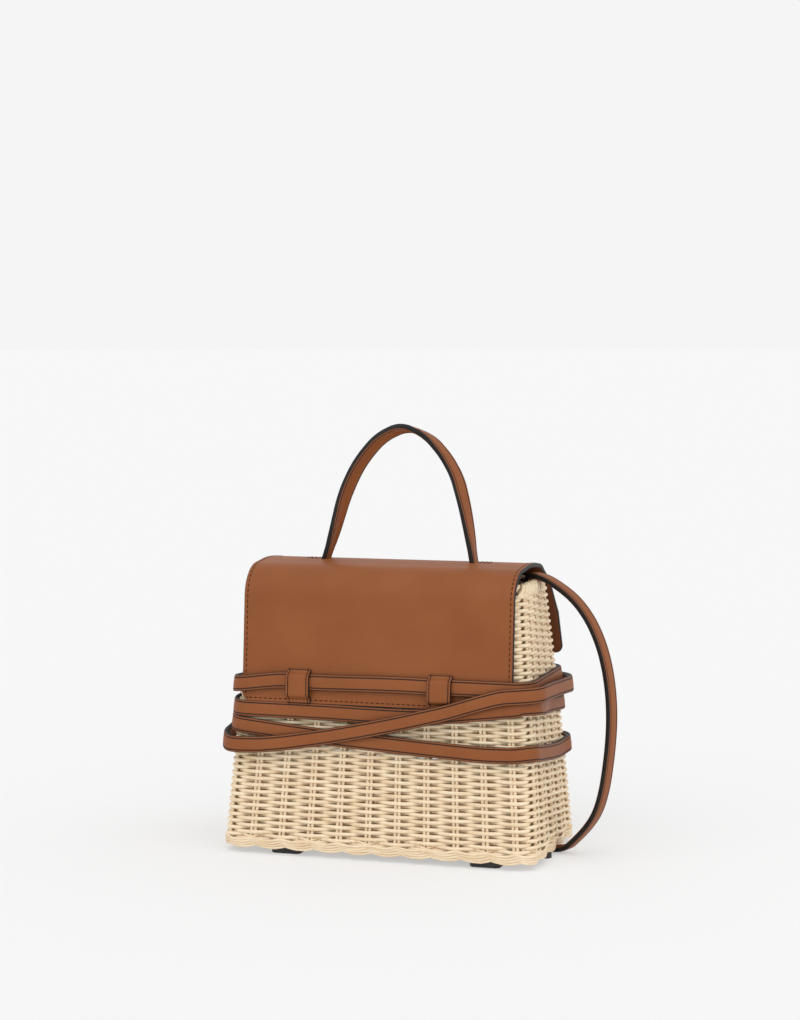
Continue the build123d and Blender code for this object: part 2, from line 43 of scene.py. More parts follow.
# The photographer's table: a pale floor that runs out of sight and a soft, even studio.
# The floor keeps the bag's faint shadow. The camera stands low, to the right of the front.
FLOOR_TONE = 0.913
FLOOR_KEEPS = 0.5  # how much of the floor's own light and shadow the picture keeps
FLOOR_HALF = 30.0  # metres from the bag to the floor's edge
WORLD_LIGHT = 0.70
CAMERA_PLACE = Vector((0.6103, -1.8111, 0.42258))
CAMERA_AZIMUTH = 18.5895
CAMERA_PITCH = 4.556
CAMERA_ROLL = -0.289
CAMERA_LENS = 84.93
SKY_LAMPS = [  # name, azimuth and height in degrees, strength, width in degrees
    ("key_left", -25, 40, 0.58, 55),
    ("fill_right", 68, 30, 0.95, 110),
    ("overhead", 10, 80, 0.20, 60),
]


def seen_rays(nodes, links):
    """1 for the rays that show a surface: the camera's, mirrored ones and those through glass."""
    rays = nodes.new("ShaderNodeLightPath")
    total = rays.outputs["Is Camera Ray"]
    for kind in ("Is Glossy Ray", "Is Transmission Ray"):
        more = nodes.new("ShaderNodeMath")
        more.operation = "ADD"
        more.use_clamp = True
        links.new(total, more.inputs[0])
        links.new(rays.outputs[kind], more.inputs[1])
        total = more.outputs[0]
    return total


def backdrop_material():
    """Pale paint that the camera sees at an even tone, with the bag's soft shadow on it."""
    material = bpy.data.materials.new("pale_floor")
    material.use_nodes = True
    nodes, links = material.node_tree.nodes, material.node_tree.links
    nodes.clear()
    output = nodes.new("ShaderNodeOutputMaterial")
    paint = nodes.new("ShaderNodeBsdfDiffuse")
    paint.inputs["Color"].default_value = (FLOOR_TONE, FLOOR_TONE, FLOOR_TONE, 1)
    glow = nodes.new("ShaderNodeEmission")
    glow.inputs["Color"].default_value = (FLOOR_TONE, FLOOR_TONE, FLOOR_TONE, 1)
    share = nodes.new("ShaderNodeMath")
    share.operation = "MULTIPLY"
    share.inputs[1].default_value = 1 - FLOOR_KEEPS
    mix = nodes.new("ShaderNodeMixShader")
    links.new(seen_rays(nodes, links), share.inputs[0])
    links.new(share.outputs[0], mix.inputs["Fac"])
    links.new(paint.outputs[0], mix.inputs[1])
    links.new(glow.outputs[0], mix.inputs[2])
    links.new(mix.outputs[0], output.inputs["Surface"])
    return material


def lay_floor():
    mesh = bpy.data.meshes.new("floor")
    half = FLOOR_HALF
    corners = [(-half, -half, 0), (half, -half, 0), (half, half, 0), (-half, half, 0)]
    mesh.from_pydata(corners, [], [(0, 1, 2, 3)])
    floor = bpy.data.objects.new("floor", mesh)
    bpy.context.scene.collection.objects.link(floor)
    mesh.materials.append(backdrop_material())


def light_the_studio():
    world = bpy.data.worlds.new("studio")
    bpy.context.scene.world = world
    world.use_nodes = True
    nodes, links = world.node_tree.nodes, world.node_tree.links
    nodes.clear()
    output = nodes.new("ShaderNodeOutputWorld")
    around_bag = nodes.new("ShaderNodeBackground")
    around_bag.inputs["Color"].default_value = (1, 1, 1, 1)
    around_bag.inputs["Strength"].default_value = WORLD_LIGHT
    behind = nodes.new("ShaderNodeBackground")
    behind.inputs["Color"].default_value = (FLOOR_TONE, FLOOR_TONE, FLOOR_TONE, 1)
    mix = nodes.new("ShaderNodeMixShader")
    links.new(seen_rays(nodes, links), mix.inputs["Fac"])
    links.new(around_bag.outputs[0], mix.inputs[1])
    links.new(behind.outputs[0], mix.inputs[2])
    links.new(mix.outputs[0], output.inputs["Surface"])


def hang_sky_lamp(name, azimuth, height, strength, width):
    """A lamp far away, azimuth and height in degrees, as wide as a large soft box."""
    lamp = bpy.data.lights.new(name, "SUN")
    lamp.energy = strength
    lamp.angle = radians(width)
    holder = bpy.data.objects.new(name, lamp)
    bpy.context.scene.collection.objects.link(holder)
    side, up = radians(azimuth), radians(height)
    towards = Vector((-sin(side) * cos(up), cos(side) * cos(up), -sin(up)))
    holder.rotation_euler = towards.to_track_quat("-Z", "Y").to_euler()


def set_camera():
    heading = radians(CAMERA_AZIMUTH)
    pitch = radians(CAMERA_PITCH)
    ahead = Vector((-sin(heading) * cos(pitch), cos(heading) * cos(pitch), -sin(pitch)))
    level = ahead.cross(Vector((0, 0, 1))).normalized()
    upright = level.cross(ahead)
    roll = radians(CAMERA_ROLL)
    right = cos(roll) * level + sin(roll) * upright
    up = -sin(roll) * level + cos(roll) * upright
    camera = bpy.data.objects.new("camera", bpy.data.cameras.new("camera"))
    bpy.context.scene.collection.objects.link(camera)
    camera.matrix_world = Matrix.Translation(CAMERA_PLACE) @ Matrix(
        (
            (right.x, up.x, -ahead.x, 0),
            (right.y, up.y, -ahead.y, 0),
            (right.z, up.z, -ahead.z, 0),
            (0, 0, 0, 1),
        )
    )
    camera.data.lens = CAMERA_LENS
    camera.data.clip_end = 100
    bpy.context.scene.camera = camera


lay_floor()
light_the_studio()
for lamp in SKY_LAMPS:
    hang_sky_lamp(*lamp)
set_camera()
bpy.context.scene.view_settings.view_transform = "Standard"


# The woven wall: pairs of upright cane stakes, and rows of round cane that go in front of
# one pair and behind the next, each row the other way round from the row below it.
BASE_W = 260.0
BASE_D = 133.0
SIDE_LEAN = 0.0751
FRONT_LEAN = 0.1143
CORNER_R = 14.0
STAKE_Z = 35.0
FIRST_STAKE = 12.4
FRONT_PITCH = 23.76
FRONT_STAKES = 10
OTHER_STAKES = 20
ROWS = 75
ROW_LOW = 11.6
ROW_PITCH = 2.65
ROW_OUT = 2.2  # how far a row swings out in front of the stakes' line
ROW_IN = 3.3  # and in behind it
BELLY = 1.1  # how far the real wall swells beyond a straight slope
BELLY_FROM = -30.0  # the heights between which it swells
BELLY_TO = 200.0
STAKE_DEPTH = 3.75  # of the stakes' line behind the weave's outside
CANE_TALL = 1.52  # half height and half depth of a woven cane
CANE_DEEP = 1.3
CANE_SIDES = 7
ROUND_SIDES = 8  # of the stakes and the borders' canes
POINTS_A_STAKE = 6
WANDER_UP = 0.28  # a real cane strays this far up or down
WANDER_OUT = 0.15  # and this far in or out
WANDER_LENGTH = 0.035  # how quickly it strays along its way
STAKE_CANE = 1.3
STAKE_APART = 1.55  # half the distance between the two canes of a pair
STAKE_FORWARD = 0.4  # of a stake from the middle of the weave
STAKE_HEIGHTS = (8, 30, 60, 90, 120, 150, 180, 210)


def half_sizes(z):
    """Half the width and half the depth of the basket at height z, in millimetres."""
    return BASE_W / 2 - SIDE_LEAN * z, BASE_D / 2 - FRONT_LEAN * z


FLATS = [2 * (half - CORNER_R) for half in half_sizes(STAKE_Z)] * 2
ARC = CORNER_R * pi / 2
OUTLINE = sum(FLATS) + 4 * ARC


def around(s, z, out=0.0):
    """The point at s round the basket, at height z, out millimetres outside the weave."""
    half_w, half_d = half_sizes(z)
    x, y = half_w - CORNER_R, half_d - CORNER_R
    centres = [(x, -y), (x, y), (-x, y), (-x, -y)]
    s %= OUTLINE
    for side, flat in enumerate(FLATS):
        if s <= flat + ARC or side == 3:
            facing = radians(90 * side - 90)
            if s > flat:
                facing += (s - flat) / ARC * pi / 2
            begin, end = centres[side - 1], centres[side]
            share = min(s / flat, 1.0)
            return Vector(
                (
                    begin[0] + (end[0] - begin[0]) * share + (CORNER_R + out) * cos(facing),
                    begin[1] + (end[1] - begin[1]) * share + (CORNER_R + out) * sin(facing),
                    z,
                )
            )
        s -= flat + ARC


def stake_places():
    front = [FIRST_STAKE + FRONT_PITCH * k for k in range(FRONT_STAKES)]
    pitch = (OUTLINE - front[-1] + front[0]) / (OTHER_STAKES + 1)
    return front + [front[-1] + pitch * (k + 1) for k in range(OTHER_STAKES)]


STAKES = stake_places()


def belly(z):
    """How far the wall swells outwards at height z."""
    share = (z - BELLY_FROM) / (BELLY_TO - BELLY_FROM)
    return BELLY * sin(pi * min(1.0, max(0.0, share)))


def next_stake(k):
    return STAKES[k + 1] if k + 1 < len(STAKES) else STAKES[0] + OUTLINE


def cane_material(name, pale, dark):
    """Peeled split cane: cream, a little darker in streaks along it, with a soft gloss."""
    material = bpy.data.materials.new(name)
    material.use_nodes = True
    nodes, links = material.node_tree.nodes, material.node_tree.links
    shader = nodes["Principled BSDF"]
    shader.inputs["Roughness"].default_value = 0.5
    shader.inputs["Specular IOR Level"].default_value = 0.35
    places = nodes.new("ShaderNodeTexCoord")
    stretch = nodes.new("ShaderNodeMapping")
    stretch.inputs["Scale"].default_value = (60, 60, 420)
    links.new(places.outputs["Object"], stretch.inputs["Vector"])
    streaks = nodes.new("ShaderNodeTexNoise")
    streaks.inputs["Scale"].default_value = 1.0
    streaks.inputs["Detail"].default_value = 4.0
    links.new(stretch.outputs[0], streaks.inputs["Vector"])
    tones = nodes.new("ShaderNodeValToRGB")
    tones.color_ramp.elements[0].position = 0.3
    tones.color_ramp.elements[0].color = (*dark, 1)
    tones.color_ramp.elements[1].position = 0.62
    tones.color_ramp.elements[1].color = (*pale, 1)
    links.new(streaks.outputs["Fac"], tones.inputs["Fac"])
    links.new(tones.outputs["Color"], shader.inputs["Base Color"])
    bump = nodes.new("ShaderNodeBump")
    bump.inputs["Strength"].default_value = 0.25
    bump.inputs["Distance"].default_value = 0.0003
    links.new(streaks.outputs["Fac"], bump.inputs["Height"])
    links.new(bump.outputs[0], shader.inputs["Normal"])
    return material


cane = cane_material("peeled_cane", (0.91, 0.76, 0.55), (0.79, 0.60, 0.38))
stake_cane = cane_material("stake_cane", (0.93, 0.77, 0.56), (0.80, 0.61, 0.40))


def cane_lines(name, lines, closed):
    """A curve object with one straight-run line for each cane."""
    curve = bpy.data.curves.new(name + "_lines", "CURVE")
    curve.dimensions = "3D"
    curve.twist_mode = "Z_UP"
    for points in lines:
        spline = curve.splines.new("POLY")
        spline.points.add(len(points) - 1)
        for point, place in zip(spline.points, points):
            point.co = (*(place * MM), 1)
        spline.use_cyclic_u = closed
    return bpy.data.objects.new(name + "_lines", curve)


def cane_tree():
    """Geometry nodes that lay an oval cane along every line of a curve."""
    tree = bpy.data.node_groups.new("lay_cane", "GeometryNodeTree")
    face = tree.interface
    face.new_socket("Geometry", in_out="INPUT", socket_type="NodeSocketGeometry")
    face.new_socket("Half Height", in_out="INPUT", socket_type="NodeSocketFloat")
    face.new_socket("Half Depth", in_out="INPUT", socket_type="NodeSocketFloat")
    face.new_socket("Sides", in_out="INPUT", socket_type="NodeSocketInt")
    face.new_socket("Cane", in_out="INPUT", socket_type="NodeSocketMaterial")
    face.new_socket("Geometry", in_out="OUTPUT", socket_type="NodeSocketGeometry")
    nodes, links = tree.nodes, tree.links
    given = nodes.new("NodeGroupInput")
    result = nodes.new("NodeGroupOutput")
    ring = nodes.new("GeometryNodeCurvePrimitiveCircle")
    ring.inputs["Radius"].default_value = 1.0
    links.new(given.outputs["Sides"], ring.inputs["Resolution"])
    oval_size = nodes.new("ShaderNodeCombineXYZ")
    links.new(given.outputs["Half Depth"], oval_size.inputs["X"])
    links.new(given.outputs["Half Height"], oval_size.inputs["Y"])
    oval = nodes.new("GeometryNodeTransform")
    links.new(ring.outputs["Curve"], oval.inputs["Geometry"])
    links.new(oval_size.outputs[0], oval.inputs["Scale"])
    tube = nodes.new("GeometryNodeCurveToMesh")
    tube.inputs["Fill Caps"].default_value = True
    links.new(given.outputs["Geometry"], tube.inputs["Curve"])
    links.new(oval.outputs["Geometry"], tube.inputs["Profile Curve"])
    smooth = nodes.new("GeometryNodeSetShadeSmooth")
    links.new(tube.outputs["Mesh"], smooth.inputs["Geometry"])
    real = nodes.new("GeometryNodeRealizeInstances")
    links.new(smooth.outputs["Geometry"], real.inputs["Geometry"])
    dress = nodes.new("GeometryNodeSetMaterial")
    links.new(real.outputs["Geometry"], dress.inputs["Geometry"])
    links.new(given.outputs["Cane"], dress.inputs["Material"])
    links.new(dress.outputs["Geometry"], result.inputs["Geometry"])
    return tree


def run_tree(holder, tree, values, name, materials):
    """The tree's result on holder as a plain mesh object of its own."""
    modifier = holder.modifiers.new("build", "NODES")
    modifier.node_group = tree
    for item in tree.interface.items_tree:
        if item.in_out == "INPUT" and item.name in values:
            modifier[item.identifier] = values[item.name]
    bpy.context.scene.collection.objects.link(holder)
    bpy.context.view_layer.update()
    ready = holder.evaluated_get(bpy.context.evaluated_depsgraph_get())
    mesh = bpy.data.meshes.new_from_object(ready)
    holder.modifiers.remove(modifier)
    bpy.data.objects.remove(holder)
    mesh.name = name
    if not mesh.materials:
        for material in materials:
            mesh.materials.append(material)
    piece = bpy.data.objects.new(name, mesh)
    bpy.context.scene.collection.objects.link(piece)
    return piece


lay_cane = cane_tree()


def lay_canes(name, lines, closed, tall, deep, sides, material):
    values = {"Half Height": tall * MM, "Half Depth": deep * MM, "Sides": sides, "Cane": material}
    return run_tree(cane_lines(name, lines, closed), lay_cane, values, name, [material])


def row_line(row):
    """One woven row: a closed line that swings in front of every other pair of stakes."""
    points = []
    for k, stake in enumerate(STAKES):
        pitch = next_stake(k) - stake
        side = 1 if (k + row) % 2 == 0 else -1
        for step in range(POINTS_A_STAKE):
            share = step / POINTS_A_STAKE
            s = stake + share * pitch
            swing = side * cos(pi * share)
            wander = noise(Vector((s * WANDER_LENGTH, row * 3.7, 0.0)))
            z = ROW_LOW + row * ROW_PITCH + WANDER_UP * wander
            out = (ROW_OUT if swing > 0 else ROW_IN) * swing + WANDER_OUT * wander
            points.append(around(s, z, belly(z) - STAKE_DEPTH + out))
    return points


def stake_line(s, shift):
    return [
        around(s + shift, z, belly(z) - STAKE_DEPTH + STAKE_FORWARD) for z in STAKE_HEIGHTS
    ]


row_lines = [row_line(row) for row in range(ROWS)]
rows = lay_canes("woven_rows", row_lines, True, CANE_TALL, CANE_DEEP, CANE_SIDES, cane)
pairs = [stake_line(s, side * STAKE_APART) for s in STAKES for side in (-1, 1)]
stakes = lay_canes("stakes", pairs, False, STAKE_CANE, STAKE_CANE, ROUND_SIDES, stake_cane)
for piece in (rows, stakes):
    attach(piece, "root")
    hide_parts("basket_wall")


# The rim: at the top each pair of stakes is bent over to the right, laid across its
# neighbour in a slanting fold and tucked down inside.
RIM_CANE = 1.2
RIM_SPREAD = 0.2  # a fold's second cane lies this much further along
RIM_HALF_WAY = 12  # from one stake's fold to the next fold beside it
RIM_FOLDS = [  # along the rim, height, out
    (0.0, 205.0, -3.9),
    (2.5, 208.6, -2.6),
    (7.0, 212.2, -2.2),
    (12.0, 215.4, -3.2),
    (15.5, 216.1, -5.0),
    (19.0, 214.6, -7.0),
    (22.0, 210.5, -7.4),
]


def rim_lines():
    lines = []
    for s in STAKES:
        for fold in (0, RIM_HALF_WAY):
            for shift in (-STAKE_APART, STAKE_APART + RIM_SPREAD):
                start = s + fold + shift
                lines.append([around(start + along, z, out) for along, z, out in RIM_FOLDS])
    return lines


rim = lay_canes("folded_rim", rim_lines(), False, RIM_CANE, RIM_CANE, ROUND_SIDES, cane)
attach(rim, "root")
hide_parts("rim_border")


# The foot border: four strands leave the weave beside each stake, sweep down together
# under the last row and go in behind the next group, so that the edge hangs in scallops.
FOOT_CANE = 1.02
FOOT_SWEEP = [  # along the foot, height, out
    (-8.0, 10.6, -4.4),
    (-1.0, 8.4, -2.0),
    (6.0, 6.5, -0.4),
    (13.0, 5.4, 0.2),
    (20.0, 5.3, 0.1),
    (26.0, 6.4, -1.0),
    (32.0, 8.6, -3.2),
    (37.0, 10.6, -5.2),
]
FOOT_STRANDS = 4
FOOT_STRAND_UP = 1.9  # from one strand to the strand above it
FOOT_STRAND_BACK = 1.2  # each strand starts this much earlier
FOOT_STRAND_OUT = 0.45  # and lies this much further out
FOOT_TUCK = 1.3  # of the lowest strand, in under the edge


def foot_lines():
    lines = []
    for s in STAKES:
        for strand in range(FOOT_STRANDS):
            lines.append(
                [
                    around(
                        s + along - FOOT_STRAND_BACK * strand,
                        z + FOOT_STRAND_UP * strand,
                        out - FOOT_TUCK + FOOT_STRAND_OUT * strand,
                    )
                    for along, z, out in FOOT_SWEEP
                ]
            )
    return lines


foot = lay_canes("foot_scallops", foot_lines(), False, FOOT_CANE, FOOT_CANE, ROUND_SIDES, cane)
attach(foot, "root")
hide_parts("foot_border")


# The bottom: cane woven flat, laid on the foot border and held inside the wall's lowest
# rows. It is out of sight under the bag.
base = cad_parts["base_panel"]
for slot in base.material_slots:
    slot.material = stake_cane


# The leather is firm, smooth calf in a warm brown with painted black edges. The flap is one
# sheet: it covers the front, bends over the opening and ends in a wider tail behind.
BROWN = (0.278, 0.089, 0.027)
BROWN_DEEP = (0.242, 0.074, 0.021)


def leather_material(name, light, deep, rough):
    """Smooth calf: slow changes of tone, a very fine grain and a low sheen."""
    material = bpy.data.materials.new(name)
    material.use_nodes = True
    nodes, links = material.node_tree.nodes, material.node_tree.links
    shader = nodes["Principled BSDF"]
    shader.inputs["Roughness"].default_value = rough
    shader.inputs["Specular IOR Level"].default_value = 0.2
    places = nodes.new("ShaderNodeTexCoord")
    clouds = nodes.new("ShaderNodeTexNoise")
    clouds.inputs["Scale"].default_value = 22
    clouds.inputs["Detail"].default_value = 3
    links.new(places.outputs["Object"], clouds.inputs["Vector"])
    tones = nodes.new("ShaderNodeValToRGB")
    tones.color_ramp.elements[0].position = 0.3
    tones.color_ramp.elements[0].color = (*deep, 1)
    tones.color_ramp.elements[1].position = 0.7
    tones.color_ramp.elements[1].color = (*light, 1)
    links.new(clouds.outputs["Fac"], tones.inputs["Fac"])
    links.new(tones.outputs["Color"], shader.inputs["Base Color"])
    grain = nodes.new("ShaderNodeTexVoronoi")
    grain.inputs["Scale"].default_value = 1500
    links.new(places.outputs["Object"], grain.inputs["Vector"])
    bump = nodes.new("ShaderNodeBump")
    bump.inputs["Strength"].default_value = 0.12
    bump.inputs["Distance"].default_value = 0.0002
    links.new(grain.outputs["Distance"], bump.inputs["Height"])
    links.new(bump.outputs[0], shader.inputs["Normal"])
    return material


def edge_material():
    """Black edge paint, rubbed to a dull shine."""
    material = bpy.data.materials.new("edge_paint")
    material.use_nodes = True
    nodes, links = material.node_tree.nodes, material.node_tree.links
    shader = nodes["Principled BSDF"]
    shader.inputs["Roughness"].default_value = 0.5
    shader.inputs["Specular IOR Level"].default_value = 0.25
    places = nodes.new("ShaderNodeTexCoord")
    rub = nodes.new("ShaderNodeTexNoise")
    rub.inputs["Scale"].default_value = 260
    links.new(places.outputs["Object"], rub.inputs["Vector"])
    tones = nodes.new("ShaderNodeValToRGB")
    tones.color_ramp.elements[0].color = (0.008, 0.007, 0.007, 1)
    tones.color_ramp.elements[1].color = (0.018, 0.016, 0.016, 1)
    links.new(rub.outputs["Fac"], tones.inputs["Fac"])
    links.new(tones.outputs["Color"], shader.inputs["Base Color"])
    return material


calf = leather_material("brown_calf", BROWN, BROWN_DEEP, 0.5)
# The flap's inside face is a darker brown: partly the lining's own colour, partly painted shade.
shaded_inside_calf = leather_material("brown_calf_inside_painted_shade", (0.17, 0.058, 0.022), (0.13, 0.042, 0.016), 0.6)
edge_paint = edge_material()
THREAD_TONE = (0.052, 0.017, 0.006)


def thread_material():
    """Dark brown waxed thread."""
    material = bpy.data.materials.new("waxed_thread")
    material.use_nodes = True
    nodes, links = material.node_tree.nodes, material.node_tree.links
    shader = nodes["Principled BSDF"]
    shader.inputs["Roughness"].default_value = 0.8
    shader.inputs["Specular IOR Level"].default_value = 0.1
    places = nodes.new("ShaderNodeTexCoord")
    fuzz = nodes.new("ShaderNodeTexNoise")
    fuzz.inputs["Scale"].default_value = 900
    links.new(places.outputs["Object"], fuzz.inputs["Vector"])
    tones = nodes.new("ShaderNodeValToRGB")
    tones.color_ramp.elements[0].color = (*[tone * 0.7 for tone in THREAD_TONE], 1)
    tones.color_ramp.elements[1].color = (*[tone * 1.5 for tone in THREAD_TONE], 1)
    links.new(fuzz.outputs["Fac"], tones.inputs["Fac"])
    links.new(tones.outputs["Color"], shader.inputs["Base Color"])
    return material


thread = thread_material()


def leather_sheet(name, sheet_rows, thickness, bevel, faces=(calf, edge_paint, shaded_inside_calf)):
    """A sheet of leather whose outside goes through rows of points, in millimetres."""
    mesh = bpy.data.meshes.new(name)
    across = len(sheet_rows[0])
    points = [point * MM for row in sheet_rows for point in row]
    quads = []
    for k in range(len(sheet_rows) - 1):
        for j in range(across - 1):
            a = k * across + j
            quads.append((a, a + across, a + across + 1, a + 1))
    mesh.from_pydata(points, [], quads)
    for material in faces:
        mesh.materials.append(material)
    holder = bpy.data.objects.new(name + "_sheet", mesh)
    bpy.context.scene.collection.objects.link(holder)
    wall = holder.modifiers.new("wall", "SOLIDIFY")
    wall.thickness = thickness * MM
    wall.offset = -1
    wall.use_even_offset = True
    wall.material_offset = 2
    wall.material_offset_rim = 1
    round_off = holder.modifiers.new("round", "BEVEL")
    round_off.width = bevel * MM
    round_off.segments = 2
    round_off.material = 1
    round_off.use_clamp_overlap = False
    round_off.limit_method = "ANGLE"
    round_off.angle_limit = radians(50)
    bpy.context.view_layer.update()
    ready = holder.evaluated_get(bpy.context.evaluated_depsgraph_get())
    made = bpy.data.meshes.new_from_object(ready)
    bpy.data.objects.remove(holder)
    made.name = name
    for polygon in made.polygons:
        polygon.use_smooth = True
    made.set_sharp_from_angle(angle=radians(45))
    piece = bpy.data.objects.new(name, made)
    bpy.context.scene.collection.objects.link(piece)
    return piece


def stitch_tree():
    """Geometry nodes that set short stitches along every line of a curve."""
    tree = bpy.data.node_groups.new("sew", "GeometryNodeTree")
    face = tree.interface
    face.new_socket("Geometry", in_out="INPUT", socket_type="NodeSocketGeometry")
    face.new_socket("Pitch", in_out="INPUT", socket_type="NodeSocketFloat")
    face.new_socket("Stitch Length", in_out="INPUT", socket_type="NodeSocketFloat")
    face.new_socket("Thread Radius", in_out="INPUT", socket_type="NodeSocketFloat")
    face.new_socket("Thread", in_out="INPUT", socket_type="NodeSocketMaterial")
    face.new_socket("Geometry", in_out="OUTPUT", socket_type="NodeSocketGeometry")
    nodes, links = tree.nodes, tree.links
    given = nodes.new("NodeGroupInput")
    result = nodes.new("NodeGroupOutput")
    spread = nodes.new("GeometryNodeCurveToPoints")
    spread.mode = "LENGTH"
    links.new(given.outputs["Geometry"], spread.inputs["Curve"])
    links.new(given.outputs["Pitch"], spread.inputs["Length"])
    ball = nodes.new("GeometryNodeMeshUVSphere")
    ball.inputs["Segments"].default_value = 6
    ball.inputs["Rings"].default_value = 5
    ball.inputs["Radius"].default_value = 1.0
    half = nodes.new("ShaderNodeMath")
    half.operation = "MULTIPLY"
    half.inputs[1].default_value = 0.5
    links.new(given.outputs["Stitch Length"], half.inputs[0])
    size = nodes.new("ShaderNodeCombineXYZ")
    links.new(given.outputs["Thread Radius"], size.inputs["X"])
    links.new(given.outputs["Thread Radius"], size.inputs["Y"])
    links.new(half.outputs[0], size.inputs["Z"])
    turn = nodes.new("FunctionNodeAlignRotationToVector")
    turn.axis = "Z"
    links.new(spread.outputs["Tangent"], turn.inputs["Vector"])
    place = nodes.new("GeometryNodeInstanceOnPoints")
    links.new(spread.outputs["Points"], place.inputs["Points"])
    links.new(ball.outputs["Mesh"], place.inputs["Instance"])
    links.new(turn.outputs["Rotation"], place.inputs["Rotation"])
    links.new(size.outputs[0], place.inputs["Scale"])
    real = nodes.new("GeometryNodeRealizeInstances")
    links.new(place.outputs["Instances"], real.inputs["Geometry"])
    smooth = nodes.new("GeometryNodeSetShadeSmooth")
    links.new(real.outputs["Geometry"], smooth.inputs["Geometry"])
    dress = nodes.new("GeometryNodeSetMaterial")
    links.new(smooth.outputs["Geometry"], dress.inputs["Geometry"])
    links.new(given.outputs["Thread"], dress.inputs["Material"])
    links.new(dress.outputs["Geometry"], result.inputs["Geometry"])
    return tree


sew = stitch_tree()


def stitches(name, lines, pitch, length, radius):
    values = {
        "Pitch": pitch * MM,
        "Stitch Length": length * MM,
        "Thread Radius": radius * MM,
        "Thread": thread,
    }
    piece = run_tree(cane_lines(name, lines, False), sew, values, name, [thread])
    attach(piece, "root")
    return piece


def bent_line(places, radii, step):
    """Points along straight runs joined by arcs, in a plane, with the way each one faces."""
    line = []
    corners = [Vector(place) for place in places]
    heading = (corners[1] - corners[0]).normalized()
    line.append((corners[0], heading))
    for k, radius in enumerate(radii):
        before, corner, after = corners[k : k + 3]
        into, out = (corner - before).normalized(), (after - corner).normalized()
        turn = acos(max(-1.0, min(1.0, into.dot(out))))
        reach = radius * tan(turn / 2)
        side = 1 if into.x * out.y - into.y * out.x > 0 else -1
        start = corner - into * reach
        middle = start + Vector((-into.y, into.x)) * radius * side
        count = max(2, round(radius * turn / step))
        for j in range(count + 1):
            angle = side * turn * j / count
            spoke = start - middle
            turned = Vector(
                (
                    spoke.x * cos(angle) - spoke.y * sin(angle),
                    spoke.x * sin(angle) + spoke.y * cos(angle),
                )
            )
            faces = Vector(
                (
                    into.x * cos(angle) - into.y * sin(angle),
                    into.x * sin(angle) + into.y * cos(angle),
                )
            )
            line.append((middle + turned, faces))
    line.append((corners[-1], (corners[-1] - corners[-2]).normalized()))
    return fill_runs(line, step)


def fill_runs(line, step):
    """The same line with points no further apart than step on its straight runs."""
    full = []
    for (a, facing_a), (b, facing_b) in zip(line, line[1:]):
        count = max(1, int((b - a).length // (2 * step)))
        for j in range(count):
            share = j / count
            full.append((a.lerp(b, share), facing_a.lerp(facing_b, share).normalized()))
    full.append(line[-1])
    return full


FLAP_THICK = 3.2
FLAP_HALF = 111.4
FLAP_MIDDLE = -1.6  # the flap sits a little to the left of the basket's middle
FLAP_GAP = 0.5
FLAP_LOW = 120.4
FLAP_CORNER = 7.0
ARCH_EDGE = 225.9
ARCH_PROUD = 3.4
ARCH_CROWN = 230.9
ARCH_R = 27.0
CROWN_R = 120.0
TAIL_BEND = 190.0
TAIL_BEND_R = 60.0
TAIL_LOW = 153.5
TAIL_FLARE = 10.0
TAIL_SHOULDER = 222.0
TAIL_MID_HALF = 120.5
TAIL_MID_Z = 187.0
TAIL_END_HALF = 122.0
TAIL_CORNER = 6.0
FLAP_EDGE = 0.6  # how wide the painted shoulder of the edge is
FLAP_SEAM_IN = 3.0  # of the stitch line from the edge
FLAP_STITCH = (4.2, 3.1, 0.42)  # from stitch to stitch, a stitch's length, the thread's radius


def flap_front_y(z):
    """Y of the front panel's outside at height z."""
    lift = FLAP_GAP + FLAP_THICK + ARCH_PROUD * (z - FLAP_LOW) / (ARCH_EDGE - FLAP_LOW)
    return -half_sizes(z)[1] - lift


def flap_line():
    """The flap's outside seen from its end, from the tail over the arch to the front."""
    arch_back = -flap_front_y(ARCH_EDGE)
    bend_y = half_sizes(TAIL_BEND)[1] + FLAP_GAP + FLAP_THICK
    places = [
        (bend_y + TAIL_FLARE, TAIL_LOW),
        (bend_y, TAIL_BEND),
        (arch_back, ARCH_EDGE),
        (0, ARCH_CROWN),
        (-arch_back, ARCH_EDGE),
        (flap_front_y(FLAP_LOW), FLAP_LOW),
    ]
    return bent_line(places, [TAIL_BEND_R, ARCH_R, CROWN_R, ARCH_R], 1.6)


def rounded_in(rest, radius):
    """How much narrower the sheet is at rest millimetres from its rounded end."""
    if rest >= radius:
        return 0.0
    return radius - sqrt(max(0.0, radius**2 - (radius - rest) ** 2))


def flap_half_width(y, z):
    if y < 0:
        return FLAP_HALF - rounded_in(z - FLAP_LOW, FLAP_CORNER)
    if z > TAIL_SHOULDER:
        return FLAP_HALF
    if z > TAIL_MID_Z:
        share = (TAIL_SHOULDER - z) / (TAIL_SHOULDER - TAIL_MID_Z)
        return FLAP_HALF + (TAIL_MID_HALF - FLAP_HALF) * share
    share = (TAIL_MID_Z - z) / (TAIL_MID_Z - TAIL_LOW)
    half = TAIL_MID_HALF + (TAIL_END_HALF - TAIL_MID_HALF) * share
    return half - rounded_in(z - TAIL_LOW, TAIL_CORNER)


def end_steps(line, radius):
    """The line with more points close to both ends, where the corners are round."""
    def near(a, b):
        return [(a[0].lerp(b[0], t), a[1]) for t in (0.0, 0.12, 0.3, 0.55, 0.8)]

    first, last = line[0], line[-1]
    inner_first = (first[0] + first[1] * radius, first[1])
    inner_last = (last[0] - last[1] * radius, last[1])
    middle = [p for p in line[1:-1] if (p[0] - first[0]).length > radius]
    middle = [p for p in middle if (p[0] - last[0]).length > radius]
    closing = reversed(near(last, inner_last))
    return [*near(first, inner_first), inner_first, *middle, inner_last, *closing]


